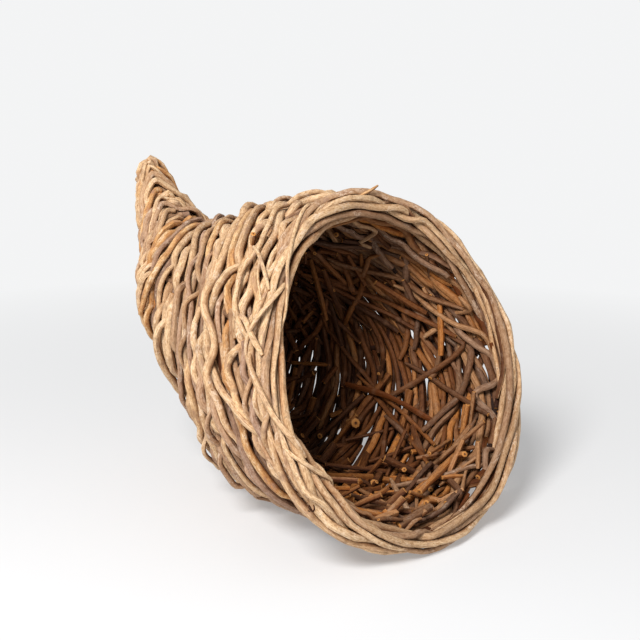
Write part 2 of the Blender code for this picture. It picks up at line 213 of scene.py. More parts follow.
def twig_pattern(rings, sides):
    """The straight twig with that many rings, one unit long and one unit in radius."""
    if (rings, sides) in patterns:
        return patterns[rings, sides]
    deselect_all()
    bpy.ops.mesh.primitive_cylinder_add(vertices=sides, radius=1, depth=1, location=(0, 0, 0))
    straight = bpy.context.object
    mesh = straight.data
    long_edges = [edge.index for edge in mesh.edges
                  if mesh.vertices[edge.vertices[0]].co.z * mesh.vertices[edge.vertices[1]].co.z < 0]
    bpy.ops.object.mode_set(mode="EDIT")
    bpy.ops.mesh.select_mode(type="EDGE")
    select_in(mesh, chosen_edges=long_edges)
    bpy.ops.mesh.subdivide(number_cuts=rings - 2)
    bpy.ops.object.mode_set(mode="OBJECT")
    ends = [face.index for face in mesh.polygons if len(face.vertices) == sides]
    bpy.ops.object.mode_set(mode="EDIT")
    bpy.ops.mesh.select_mode(type="FACE")
    select_in(mesh, chosen_faces=ends)
    for thickness, depth in END_INSETS:
        bpy.ops.mesh.inset(thickness=thickness, depth=depth)
    bpy.ops.object.mode_set(mode="OBJECT")
    points = np.array([vertex.co for vertex in mesh.vertices])
    faces = [list(face.vertices) for face in mesh.polygons]
    bpy.data.objects.remove(straight)
    past = np.clip(np.abs(points[:, 2]) - 0.5, 0, None) * np.sign(points[:, 2])
    ring = np.rint((np.clip(points[:, 2], -0.5, 0.5) + 0.5) * (rings - 1)).astype(int)
    patterns[rings, sides] = (points[:, :2], past, ring, faces)
    return patterns[rings, sides]


print("points of a short twig", len(twig_pattern(4, SIDES)[0]))

# %% [markdown]
# No two twigs are as thick or as straight. A smooth random line gives a twig its sway,
# and its thickness rises at each knot, where a leaf once stood, and falls at the ends.

# %% How a twig swells and thins
KNOT_REACH = 0.0045
KNOT_FREE_END = 0.005
SIZE_SWAY = 0.05
WAVE_LENGTH = 0.03


def bell(distance, width):
    return np.exp(-((distance / width) ** 2))


def from_ends(count):
    """How many places each of that many is from the nearer end."""
    return np.minimum(np.arange(count), np.arange(count)[::-1])


def wander(count, size, waves):
    """A smooth random line of that many points."""
    return through(dice.normal(0, size, max(int(waves), 2) + 3), np.linspace(0, 1, count))


def resample(line, count):
    """The line's values at that many even places of its own count."""
    line = np.asarray(line, float)
    old = np.linspace(0, 1, len(line))
    new = np.linspace(0, 1, count)
    if line.ndim == 1:
        return np.interp(new, old, line)
    return np.stack([np.interp(new, old, column) for column in line.T], -1)


def thickness_along(length, rings, radius, knotty, thin):
    """How far along each ring is, how thick the twig is there, and how near a knot."""
    along = np.linspace(0, length, rings)
    size = radius * np.interp(along / length, (0, 0.10, 0.88, 1), (thin[0], 1, 1, thin[1]))
    size = size * (1 + wander(rings, SIZE_SWAY, length / WAVE_LENGTH))
    knot = np.zeros(rings)
    spot = dice.uniform(0.01, 0.06)
    while knotty and spot < length - KNOT_FREE_END:
        near = bell(along - spot, KNOT_REACH)
        size = size * (1 + dice.uniform(0.06, 0.24) * near)
        knot = np.maximum(knot, near)
        spot += dice.uniform(0.030, 0.10)
    return along, size, knot


print("a knot is", round(2 * KNOT_REACH * 1000), "mm long")

# %% [markdown]
# A copy is bent by setting each ring of the pattern on its own spot of the course. Every
# point also gets marks for the bark to read: its place in the twig, the twig's tone, how
# brown it is with painted shade, how deep in the cut wood, how near a knot, and how far it
# faces the wall, for more painted shade.

# %% Copies of the twig, bent onto their courses
RING_STEP = 0.0055
TABLE_GAP = 0.0002
OVAL_SHARE = 0.07
SMOOTH_ANGLE = math.radians(50)


class Bundle:
    """The twigs of one piece, gathered as they are laid."""

    def __init__(self, name):
        self.name = name
        self.points = []
        self.faces = []
        self.marks = {"grain": [], "tone": [], "inner": [], "cut": [], "knot": [], "under": []}
        self.count = 0

    def twig(self, places, outs, radius, tone, inner, thin, step=RING_STEP, knotty=True,
             sides=SIDES):
        """One twig along the places. radius is at its thickest and thin gives its ends."""
        length = float(np.linalg.norm(np.diff(places, axis=0), axis=1).sum())
        rings = min((n for n in RING_COUNTS if n * step >= length), default=RING_COUNTS[-1])
        inner = resample(np.broadcast_to(inner, (len(places),)), rings)
        outs = unit(resample(np.broadcast_to(outs, places.shape), rings))
        places = resample(places, rings)
        along, size, knot = thickness_along(length, rings, radius, knotty, thin)
        # Nothing sinks into the table
        places[:, 2] = np.maximum(places[:, 2], size + TABLE_GAP)
        ahead = unit(np.gradient(places, axis=0))
        side = unit(np.cross(outs, ahead))
        up = np.cross(ahead, side)
        flat, past, ring, faces = twig_pattern(rings, sides)
        turn = dice.uniform(0, FULL_TURN)
        oval = 1 + OVAL_SHARE * np.cos(2 * np.arctan2(flat[:, 1], flat[:, 0]) + turn)
        girth = size[ring] * oval
        bent = places[ring] + side[ring] * (flat[:, 0] * girth)[:, None]
        bent = bent + up[ring] * (flat[:, 1] * girth)[:, None]
        bent = bent + ahead[ring] * (past * size[ring])[:, None]
        self.points.append(bent)
        self.faces.extend([[corner + self.count for corner in face] for face in faces])
        reach = np.hypot(flat[:, 0], flat[:, 1])
        own = dice.uniform(0, 50)
        grain = np.stack([along[ring] + own, flat[:, 0] * girth, flat[:, 1] * girth], -1)
        self.marks["grain"].append(grain)
        self.marks["tone"].append(np.full(len(bent), tone))
        # Painted shade: the side that faces the wall gets the brown tones, the side that faces out
        # stays pale
        hidden = 0.6 * np.clip(-0.1 - flat[:, 1], 0, 1) - 0.12 * flat[:, 1]
        self.marks["inner"].append(np.clip(inner[ring] + hidden, 0, 1))
        self.marks["cut"].append(np.where(reach < 0.95, 1.05 - reach, 0.0))
        self.marks["knot"].append(knot[ring])
        # Painted shade: how far each point faces the wall, which darkens it between the twigs
        self.marks["under"].append(np.clip(0.35 - flat[:, 1], 0, 1))
        self.count += len(bent)

    def piece(self, nodes):
        """The gathered twigs as one piece that stands for these nodes."""
        mesh = bpy.data.meshes.new(self.name)
        mesh.from_pydata(np.concatenate(self.points).tolist(), [], self.faces)
        for mark, values in self.marks.items():
            values = np.concatenate(values).astype(np.float32)
            kind, key = ("FLOAT", "value") if values.ndim == 1 else ("FLOAT_VECTOR", "vector")
            layer = mesh.attributes.new(mark, kind, "POINT")
            layer.data.foreach_set(key, values.ravel())
        mesh.materials.append(weave_bark)
        thing = bpy.data.objects.new(self.name, mesh)
        bpy.context.scene.collection.objects.link(thing)
        deselect_all()
        thing.select_set(True)
        bpy.context.view_layer.objects.active = thing
        bpy.ops.object.shade_smooth_by_angle(angle=SMOOTH_ANGLE)
        deselect_all()
        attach(thing, "root")
        if nodes:
            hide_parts(*nodes)
        triangles = sum(len(face) - 2 for face in self.faces)
        print(self.name, "twigs", len(self.points), "triangles", triangles)


print("rings are up to", RING_STEP * 1000, "mm apart")

# %% [markdown]
# Bark is a grown skin: long fibres, grey and pink patches where it weathered, darker
# rings at the knots. Noise that is stretched along the twig gives the fibres. The outside
# is pale, and shade is painted in as red brown: inside the horn, deep in the wall and on
# the sides that face it. The shader maths is written with one small class, so that the
# recipe reads as sums.

# %% Sums on shader sockets
class Value:
    """A shader socket that works in sums."""

    def __init__(self, sheet, socket):
        self.sheet = sheet
        self.socket = socket

    def math(self, operation, first, second):
        return self.sheet.node("ShaderNodeMath", {"operation": operation}, {0: first, 1: second})

    def __add__(self, other):
        return self.math("ADD", self, other)

    def __radd__(self, other):
        return self.math("ADD", other, self)

    def __sub__(self, other):
        return self.math("SUBTRACT", self, other)

    def __rsub__(self, other):
        return self.math("SUBTRACT", other, self)

    def __mul__(self, other):
        return self.math("MULTIPLY", self, other)

    def __rmul__(self, other):
        return self.math("MULTIPLY", other, self)

    def __pow__(self, other):
        return self.math("POWER", self, other)


class Sheet:
    """The nodes of one material, or of the world."""

    def __init__(self, owner):
        owner.use_nodes = True
        self.owner = owner
        self.tree = owner.node_tree
        self.tree.nodes.clear()

    def node(self, kind, settings=None, sockets=None, output=0):
        node = self.tree.nodes.new(kind)
        for key, value in (settings or {}).items():
            if key == "stops":
                ramp = node.color_ramp
                while len(ramp.elements) < len(value):
                    ramp.elements.new(0.5)
                for element, (place, colour) in zip(ramp.elements, value):
                    element.position = place
                    element.color = (*colour, 1.0)
            else:
                setattr(node, key, value)
        for key, value in (sockets or {}).items():
            if isinstance(value, Value):
                self.tree.links.new(value.socket, node.inputs[key])
            else:
                node.inputs[key].default_value = value
        return Value(self, node.outputs[output]) if len(node.outputs) else None

    def mark(self, name, output="Fac"):
        return self.node("ShaderNodeAttribute", {"attribute_name": name}, output=output)

    def blend(self, share, first, second, way="MIX"):
        settings = {"data_type": "RGBA", "blend_type": way}
        return self.node("ShaderNodeMix", settings, {0: share, 6: first, 7: second}, output=2)

    def band(self, value, low, high, to_low=0.0, to_high=1.0):
        sockets = {0: value, 1: low, 2: high, 3: to_low, 4: to_high}
        return self.node("ShaderNodeMapRange", {"clamp": True}, sockets)


print("sums work with", [name for name in vars(Value) if name.startswith("__r")])

# %% [markdown]
# Three noises are enough: broad patches, fine fibres and small specks. They read each
# twig's own measure and not the room's, so they run along it and bend with it.

# %% Noise along the twig
PATCH_GRAIN = (70, 170)
FIBRE_GRAIN = (150, 1300)
SPECK_GRAIN = (380, 620)


def grain_noise(sheet, fineness, detail, rough):
    """Noise that runs with the twig. fineness is given along the twig and across it."""
    along, across = fineness
    vector = sheet.node("ShaderNodeVectorMath", {"operation": "MULTIPLY"},
                        {0: sheet.mark("grain", "Vector"), 1: (along, across, across)})
    sockets = {"Vector": vector, "Scale": 1.0, "Detail": detail, "Roughness": rough}
    return sheet.node("ShaderNodeTexNoise", {}, sockets)


print("fibres are", round(FIBRE_GRAIN[1] / FIBRE_GRAIN[0], 1), "times as long as wide")

# %% [markdown]
# The colour is laid on in layers. First the twig's tone, pale or brown with painted shade,
# then the dark between the fibres and a painted shade on the side that faces the wall.
# Pale flakes, stains and flecks follow in patches, and a dark ring goes round each knot.

# %% The colour of the bark
OUTER_TONES = (
    (0.00, (0.360, 0.225, 0.160)), (0.12, (0.450, 0.280, 0.180)), (0.30, (0.540, 0.335, 0.185)),
    (0.50, (0.680, 0.455, 0.260)), (0.75, (0.740, 0.515, 0.310)), (0.90, (0.660, 0.410, 0.200)),
    (1.00, (0.540, 0.260, 0.090)))
# The red browns of the painted shade, inside the horn and on shaded twigs
INNER_TONES = (
    (0.00, (0.050, 0.016, 0.004)), (0.35, (0.140, 0.044, 0.010)), (0.65, (0.270, 0.096, 0.020)),
    (1.00, (0.420, 0.140, 0.022)))
FLAKE = (0.78, 0.60, 0.44, 1.0)
STAIN = (0.36, 0.215, 0.150, 1.0)
FLECK = (0.12, 0.06, 0.03, 1.0)
KNOT_RING = (0.17, 0.085, 0.045, 1.0)


def bark_colour(sheet, inner, patch, fibre, speck):
    tone = sheet.mark("tone")
    under = sheet.mark("under")
    pale_tone = sheet.node("ShaderNodeValToRGB", {"stops": OUTER_TONES},
                          {0: tone + (patch - 0.5) * 0.55})
    painted_shade_brown = sheet.node("ShaderNodeValToRGB", {"stops": INNER_TONES},
                       {0: tone + (patch - 0.5) * 0.6})
    # The inner mark blends the pale tone into the brown one: painted shade
    colour = sheet.blend(inner, pale_tone, painted_shade_brown)
    grain_and_painted_shade = sheet.band(fibre * 0.55 + speck * 0.45, 0.36, 0.60, 0.38, 1.24)
    # Painted shade on the side that faces the wall, deeper still on the brown twigs
    grain_and_painted_shade = grain_and_painted_shade * sheet.band(under, 0.0, 1.0, 1.0, 0.30)
    grain_and_painted_shade = grain_and_painted_shade * (1 - inner * sheet.band(under, 0.0, 1.0, 0.0, 0.6))
    # In the dark of the fibres and in the painted shade, red fades least and blue most, so that it
    # stays warm
    warm_grain_and_painted_shade = sheet.node("ShaderNodeCombineColor", {}, {
        0: grain_and_painted_shade ** 0.75, 1: grain_and_painted_shade, 2: grain_and_painted_shade ** 1.25})
    colour = sheet.blend(0.9, colour, warm_grain_and_painted_shade, "MULTIPLY")
    flake = sheet.band(patch, 0.44, 0.34) * sheet.band(speck, 0.42, 0.56) * 0.65
    colour = sheet.blend(flake * (1 - inner), colour, FLAKE)
    stain = sheet.band(patch, 0.55, 0.68) * 0.6
    colour = sheet.blend(stain * (1 - inner), colour, STAIN)
    flecks = sheet.band(speck, 0.62, 0.70) * 0.6
    colour = sheet.blend(flecks, colour, FLECK)
    ring = sheet.band(sheet.mark("knot"), 0.55, 1.0) * 0.45
    return sheet.blend(ring, colour, KNOT_RING)


print("tones outside", len(OUTER_TONES), "and inside", len(INNER_TONES))

# %% [markdown]
# A cut end is brown at its edge and orange further in, and has a dark pith. The same
# noises that colour the bark also give it height, for a fine bump over the modelled
# knots, and make it a little less rough on its fibres.

# %% Cut wood, and the bark as a material
CUT_TONES = ((0.0, (0.34, 0.18, 0.07)), (0.25, (0.62, 0.28, 0.07)), (0.66, (0.50, 0.20, 0.05)),
             (0.80, (0.07, 0.03, 0.015)))
SHADED_CUT = (0.20, 0.07, 0.02, 1.0)
BARK_ROUGHNESS = 0.70
BUMP_DEPTH = 0.0007


def bark(name):
    sheet = Sheet(bpy.data.materials.new(name))
    inner = sheet.mark("inner")
    cut = sheet.mark("cut")
    patch = grain_noise(sheet, PATCH_GRAIN, 3.0, 0.6)
    fibre = grain_noise(sheet, FIBRE_GRAIN, 3.0, 0.65)
    speck = grain_noise(sheet, SPECK_GRAIN, 2.0, 0.6)
    wood = sheet.node("ShaderNodeValToRGB", {"stops": CUT_TONES}, {0: cut})
    # Painted shade: a cut end darkens along with the brown, shaded tones of its twig
    wood = sheet.blend(inner * 0.3, wood, SHADED_CUT)
    colour = bark_colour(sheet, inner, patch, fibre, speck)
    colour = sheet.blend(sheet.band(cut, 0.02, 0.15), colour, wood)
    height = fibre * 0.5 + patch * 0.7 + speck * 0.25
    bump = sheet.node("ShaderNodeBump", {}, {
        "Strength": 0.75, "Distance": BUMP_DEPTH, "Height": height})
    rough = sheet.band(fibre, 0.3, 0.7, BARK_ROUGHNESS + 0.12, BARK_ROUGHNESS - 0.08)
    skin = sheet.node("ShaderNodeBsdfPrincipled", {}, {
        "Base Color": colour, "Roughness": rough, "Normal": bump, "Specular IOR Level": 0.2})
    sheet.node("ShaderNodeOutputMaterial", {}, {"Surface": skin})
    return sheet.owner


weave_bark = bark("weave_bark")
print("bark nodes", len(weave_bark.node_tree.nodes))

# %% [markdown]
# Which solids does each new piece stand for? Every solid is a smooth rod, and each piece
# of twigs covers one group of them, so the solids of that group are hidden.

# %% The groups of solids
groups = {kind: [name for name in sorted(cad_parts) if name.startswith(kind)]
          for kind in ("stake", "weaver", "packing", "rim", "tail")}
weavers = groups["weaver"]
print({kind: len(names) for kind, names in groups.items()})

# %% [markdown]
# Twigs on a basket lie on one another: a new one rests on those that are there, and its
# weaver guides it into the gaps. To get the same heaps and crossings, the ring of the
# horn is cut into stations. Each face of the wall remembers, station by station, the row,
# height and radius of every twig laid on it. A new twig tries some courses, takes the
# lowest one, and rests on what it crosses.

# %% Stations round the horn
STATIONS = 240
station_angle = np.arange(STATIONS) * FULL_TURN / STATIONS
row_grid = np.linspace(-0.9, 0.96, 125)
grid_rows, grid_angles = np.meshgrid(row_grid, station_angle, indexing="ij")
grid_by_row, grid_by_turn = slopes(shell, grid_rows, grid_angles)
row_reach = np.linalg.norm(np.cross(grid_by_row, unit(grid_by_turn)), axis=-1)
turn_reach = np.linalg.norm(grid_by_turn, axis=-1)


def at_station(table, rows, stations):
    """A table over rows and stations, read between its rows."""
    place = np.clip((rows - row_grid[0]) / (row_grid[1] - row_grid[0]), 0, len(row_grid) - 1.001)
    low = place.astype(int)
    part = place - low
    return table[low, stations] * (1 - part) + table[low + 1, stations] * part


SIDE_STATION = STATIONS // 2
side_reach = at_station(row_reach, np.array([0.3]), np.array([SIDE_STATION]))
print("row reach at the side", side_reach.round(3))

# %% [markdown]
# A face of the wall can tell how high a twig would lie on those that are there. It also
# lets the twig slide sideways off them, as a round one does under the weaver's hand.

# %% A face of the wall
SLIDE = 0.0009
SLIDES = 14
SLIDE_EASE = 3


def smooth(line, reach):
    weights = np.hanning(2 * reach + 3)[1:-1]
    weights = weights / weights.sum()
    return np.convolve(np.pad(line, reach, mode="edge"), weights, mode="valid")


class Face:
    """One face of the wall, with the twigs that lie on it. side is 1 outside, -1 inside."""

    def __init__(self, side, floor, roof, press):
        self.side = side
        self.floor = floor
        self.roof = roof
        self.press = press
        self.rows = np.full((0, STATIONS), np.nan)
        self.heights = np.zeros((0, STATIONS))
        self.radii = np.zeros(0)

    def rest(self, stations, rows, radius):
        """The height at which a twig would lie on those that are there."""
        base = np.full(len(rows), self.floor + radius)
        if len(self.radii) == 0:
            return base
        reach = (self.radii[:, None] + radius) * self.press
        apart = (self.rows[:, stations] - rows) * at_station(row_reach, rows, stations)
        lift = np.sqrt(np.clip(reach**2 - apart**2, 0, None))
        over = np.where(np.abs(apart) < reach, self.heights[:, stations] + lift, -1.0)
        return np.maximum(base, over.max(axis=0))

    def slide(self, stations, rows, radius):
        """The course after the twig has slid off what it crosses, into the gaps."""
        reach = at_station(row_reach, rows, stations)
        for _ in range(SLIDES):
            above = self.rest(stations, rows + SLIDE / reach, radius)
            below = self.rest(stations, rows - SLIDE / reach, radius)
            slope = np.clip((above - below) / (2 * SLIDE), -1, 1)
            rows = smooth(rows - slope * SLIDE / 2 / reach, SLIDE_EASE)
        return rows

    def keep(self, stations, rows, heights, radius):
        row_line = np.full((1, STATIONS), np.nan)
        height_line = np.zeros((1, STATIONS))
        row_line[0, stations] = rows
        height_line[0, stations] = heights
        self.rows = np.concatenate([self.rows, row_line])
        self.heights = np.concatenate([self.heights, height_line])
        self.radii = np.append(self.radii, radius)


print("a twig slides up to", round(SLIDES * SLIDE / 2 * 1000, 1), "mm")

# %% [markdown]
# A course is the line that a twig is meant to take: a part of a turn round the horn, with
# a drift across the rows and a sway. On the ridge, a little to the right of the top, the
# rows stand further back, and on the tail they slant down from a seam.

# %% The course of a twig
RIDGE = math.radians(72)
RIDGE_SET = 0.30
RIDGE_WIDTH = 0.95
FEWEST_STATIONS = 10
WAVES_A_TURN = 9


def half_turned(angle):
    """The same angle, brought to within half a turn of zero."""
    return np.angle(np.exp(1j * angle))


def from_ridge(stations):
    return half_turned(station_angle[stations] - RIDGE)


def ridge_share(row):
    """How much of a ridge a row has: none in the collar and none on the tail."""
    return float(np.clip((row + 0.25) / 0.30, 0, 1) * np.clip((0.74 - row) / 0.5, 0, 1))


def course(row, drift, turns, sway, lean=0.0, seam=0.0, middle=None):
    """The stations that a twig passes and its row at each. middle is a station on its way."""
    count = min(max(int(turns * STATIONS), FEWEST_STATIONS), STATIONS - 2)
    share = np.linspace(0, 1, count)
    start = dice.integers(STATIONS) if middle is None else middle - count // 2
    stations = (start + np.arange(count)) % STATIONS
    rows = row + drift * (share - 0.5)
    reach = at_station(row_reach, rows, stations)
    rows = rows + wander(count, sway, turns * WAVES_A_TURN) / reach
    rows = rows + RIDGE_SET * ridge_share(row) * bell(from_ridge(stations), RIDGE_WIDTH)
    from_seam = np.abs(half_turned(station_angle[stations] - seam)) / math.pi
    if middle is not None:
        rows = rows + row - rows[count // 2]
    return stations, rows - lean * (from_seam - 0.5)


print("the ridge is at station", round(RIDGE / FULL_TURN * STATIONS))

# %% [markdown]
# A twig is laid on the course where it lies lowest. Where the heap is too high, it dives
# into the wall and comes out again. It is stiff, so it eases over bumps, and its ends are
# tucked in. What lies deep in the wall gets painted shade, in browner tones.

# %% Laying a twig
DIVE_REACH = 0.008
EASE_REACH = 0.006
HEIGHT_SWAY = 0.0004
LOOP_WIDTH = 0.24
TUCK_LENGTH = 0.012
CROSSING_RISE = 0.006
SHADE_FREE_HEIGHT = 0.0062
SHADE_FADE = 0.009
LAID_THIN = (0.8, 0.6)


def tone_of(low=0.0, high=1.0):
    return float(dice.uniform(low, high))


def either_way(low, high):
    """A random amount to one side or the other."""
    return dice.choice((-1, 1)) * dice.uniform(low, high)


def eased(line, reach):
    """The line pulled over its bumps, as a stiff twig is."""
    padded = np.pad(line, reach, mode="edge")
    high = np.lib.stride_tricks.sliding_window_view(padded, 2 * reach + 1).max(axis=1)
    return smooth(0.5 * line + 0.5 * high, reach)


def lay(bundle, face, courses, radius, tone, sink, inner=None, loop=0.0, crossing=False):
    """Lays a twig on the lowest of some courses. loop lifts it where it passes the ridge.

    A crossing twig stays on top of the others and doesn't slide into the gaps.
    """
    costs = [(face.rest(stations, rows, radius) ** 2).mean() for stations, rows in courses]
    stations, rows = courses[int(np.argmin(costs))]
    roof = face.roof + CROSSING_RISE if crossing else face.roof
    if not crossing:
        rows = face.slide(stations, rows, radius)
    heights = face.rest(stations, rows, radius)
    step = float(at_station(turn_reach, rows, stations).mean()) * FULL_TURN / STATIONS
    too_high = (heights > roof).astype(float)
    dives = smooth(too_high, max(int(round(DIVE_REACH / step)), 1)) > 0.3
    heights = np.where(dives, face.floor, heights)
    heights = eased(heights, max(int(round(EASE_REACH / step)), 1))
    heights = heights + wander(len(rows), HEIGHT_SWAY, len(rows) * step / WAVE_LENGTH)
    heights = heights + loop * bell(from_ridge(stations), LOOP_WIDTH)
    face.keep(stations, rows, heights, radius)
    tucked = heights - sink * bell(from_ends(len(rows)) * step, TUCK_LENGTH)
    places, outs = wall(rows, station_angle[stations], face.side * tucked)
    # Painted shade: the lower a twig lies in the wall, the browner its tones
    if inner is None:
        inner = np.clip((SHADE_FREE_HEIGHT - tucked) / SHADE_FADE, 0, 0.75)
    bundle.twig(places, outs * face.side, radius, tone, inner, thin=LAID_THIN)


print("a twig dives over", DIVE_REACH * 1000, "mm and eases over", EASE_REACH * 1000, "mm")

# %% [markdown]
# However many twigs are laid at random, some gaps stay wide. A weaver sees them and pushes
# short twigs in, so the widest gap is looked for and filled until all are narrow enough.

# %% Filling the gaps
MOST_FILLS = 80
ROWS_TRIED = 80
STATIONS_APART = 4
NO_TWIG = 1.0


def widest_gap(face, low, high):
    """The row and station of the widest gap between the twigs of a face."""
    rows, stations = np.meshgrid(np.linspace(low, high, ROWS_TRIED),
                                 np.arange(0, STATIONS, STATIONS_APART), indexing="ij")
    rows = rows.ravel()
    stations = stations.ravel()
    apart = np.abs(face.rows[:, stations] - rows) * at_station(row_reach, rows, stations)
    gaps = np.where(np.isnan(apart), NO_TWIG, apart - face.radii[:, None]).min(axis=0)
    widest = int(gaps.argmax())
    return rows[widest], int(stations[widest]), gaps[widest]


def fill_gaps(bundle_of, face, low, high, most, inner=None):
    """Lays short twigs in the gaps that are wider than most to either side."""
    for count in range(MOST_FILLS):
        row, station, gap = widest_gap(face, low, high)
        if gap < most:
            break
        courses = [course(row, dice.normal(0, 0.01), dice.uniform(0.08, 0.24), 0.001,
                          middle=station)]
        lay(bundle_of(row), face, courses, dice.uniform(0.0024, 0.0032), tone_of(), 0.005,
            inner=inner)
    print("gaps filled", count, "widest left", round(2 * float(gap) * 1000, 1), "mm")


print("places looked at for a gap", ROWS_TRIED * STATIONS // STATIONS_APART)

# %% [markdown]
# The stakes run from the mouth to the tail and carry the weave. They hardly show, but
# they are seen through the gaps and where the weavers part.

# %% Stakes
STAKE_COUNT = 11
STAKE_RADIUS = 0.0027
STAKE_POINTS = 90
# The stakes lie deep in the wall, so they get painted shade: browner tones
STAKE_BROWN = 0.75
stakes = Bundle("stake_twigs")
for index in range(STAKE_COUNT):
    rows = np.linspace(-0.08, 0.97, STAKE_POINTS)
    theta = math.pi / 2 + index * FULL_TURN / STAKE_COUNT + wander(STAKE_POINTS, 0.010, 6)
    places, outs = wall(rows, theta, wander(STAKE_POINTS, 0.0005, 9))
    stakes.twig(places, outs, STAKE_RADIUS, tone_of(), STAKE_BROWN, thin=(0.9, 0.5))
stakes.piece(groups["stake"])

# %% [markdown]
# The weavers are the skin of the horn: vine twigs of very unequal length and thickness,
# which run round it, drift over their neighbours and are tucked in where they end. Where
# the rows crowd together above, they heap up and loop over the ridge.

# %% The outer twigs
OUTER_TWIGS = 145
BELLY_FROM = 0.16
NECK_FROM = 0.40
outer = Face(1, -0.0012, 0.0092, 1.18)
mouth_part = Bundle("weave_mouth_twigs")
belly_part = Bundle("weave_belly_twigs")
neck_part = Bundle("weave_neck_twigs")


def part_of(row):
    return mouth_part if row < BELLY_FROM else belly_part if row < NECK_FROM else neck_part


for count in range(OUTER_TWIGS):
    row = dice.uniform(-0.22, 0.70)
    radius = float(np.clip(dice.normal(0.0030, 0.00055), 0.0019, 0.0042))
    turns = dice.uniform(0.12, 0.60)
    courses = [course(row + dice.uniform(-0.06, 0.06), dice.normal(0, 0.020), turns, 0.0022)
               for _ in range(10)]
    loop = dice.uniform(0.002, 0.007) if row > -0.1 and count % 2 else 0.0
    lay(part_of(row), outer, courses, radius, tone_of(), 0.005, loop=loop)
laid = outer.heights[outer.heights > 0]
print("height outside, mean and most", laid.mean().round(4), laid.max().round(4))

# %% [markdown]
# Some strays cross the others at a slant, where a twig was too stiff for its row. Short
# ones then fill the gaps. The twigs become three pieces, for the mouth, the belly and
# the neck, which keeps each mesh at a fair size.

# %% Strays and short twigs outside
STRAY_TWIGS = 26
WIDEST_OUTSIDE = 0.0024
for _ in range(STRAY_TWIGS):
    row = dice.uniform(-0.1, 0.62)
    drift = either_way(0.04, 0.10)
    courses = [course(row, drift, dice.uniform(0.14, 0.42), 0.003) for _ in range(4)]
    lay(part_of(row), outer, courses, dice.uniform(0.0022, 0.0034), tone_of(), 0.007,
        crossing=True)
fill_gaps(part_of, outer, -0.2, 0.68, WIDEST_OUTSIDE)
mouth_part.piece(weavers[:4])
belly_part.piece(weavers[4:7])
neck_part.piece(weavers[7:] + groups["packing"])

# %% [markdown]
# The inside was never meant to be seen. Its twigs end anywhere and cross at all angles,
# and their red brown is painted shade, darker the deeper they lie. The crossing ones are
# a piece of their own, and a few of them near the mouth are paler.

# %% The inner twigs
INNER_TWIGS = 170
SHORT_CROSSINGS = 150
PALE_CROSSINGS = 16
WIDEST_INSIDE = 0.0028
PALEST = 0.65
inner_face = Face(-1, 0.0012, 0.0110, 1.12)
inside = Bundle("weave_inside_twigs")
crossings = Bundle("inside_crossing_twigs")


def brown_of(row, palest):
    """The tone of a twig inside, with painted shade: darker the deeper it lies."""
    return float(dice.uniform(0, palest - 0.45 * np.clip(row / 0.4, 0, 1)))


def depth_of(row):
    """How much painted shade a twig inside has: less near the mouth."""
    return float(np.clip(0.85 + 2.5 * row, 0.85, 1.1))


for _ in range(INNER_TWIGS):
    row = dice.uniform(-0.05, 0.72)
    turns = dice.uniform(0.10, 0.45)
    courses = [course(row + dice.uniform(-0.05, 0.05), dice.normal(0, 0.07), turns, 0.0025)
               for _ in range(8)]
    lay(inside, inner_face, courses, dice.uniform(0.0021, 0.0033), brown_of(row, PALEST), -0.001,
        inner=depth_of(row))
for _ in range(SHORT_CROSSINGS):
    row = dice.uniform(-0.05, 0.72)
    courses = [course(row, either_way(0.1, 0.25), dice.uniform(0.05, 0.14), 0.001)]
    lay(crossings, inner_face, courses, dice.uniform(0.0018, 0.0028), brown_of(row, PALEST), 0.0,
        inner=depth_of(row), crossing=True)
fill_gaps(lambda row: inside, inner_face, 0.0, 0.66, WIDEST_INSIDE, inner=1.0)
for _ in range(PALE_CROSSINGS):
    drift = either_way(0.08, 0.22)
    courses = [course(dice.uniform(-0.10, 0.14), drift, dice.uniform(0.08, 0.20), 0.001)]
    lay(crossings, inner_face, courses, dice.uniform(0.0022, 0.0031), tone_of(0.0, 0.6), -0.001,
        inner=0.6, crossing=True)
inside.piece([])
crossings.piece([])

# %% [markdown]
# Inside the horn lie many short cut pieces: ends of weavers that were pushed through,
# and stubs that fill the wall. Each is straight, so it touches the round wall at its
# ends, or has one end free, and the cuts show orange wood with a dark pith.

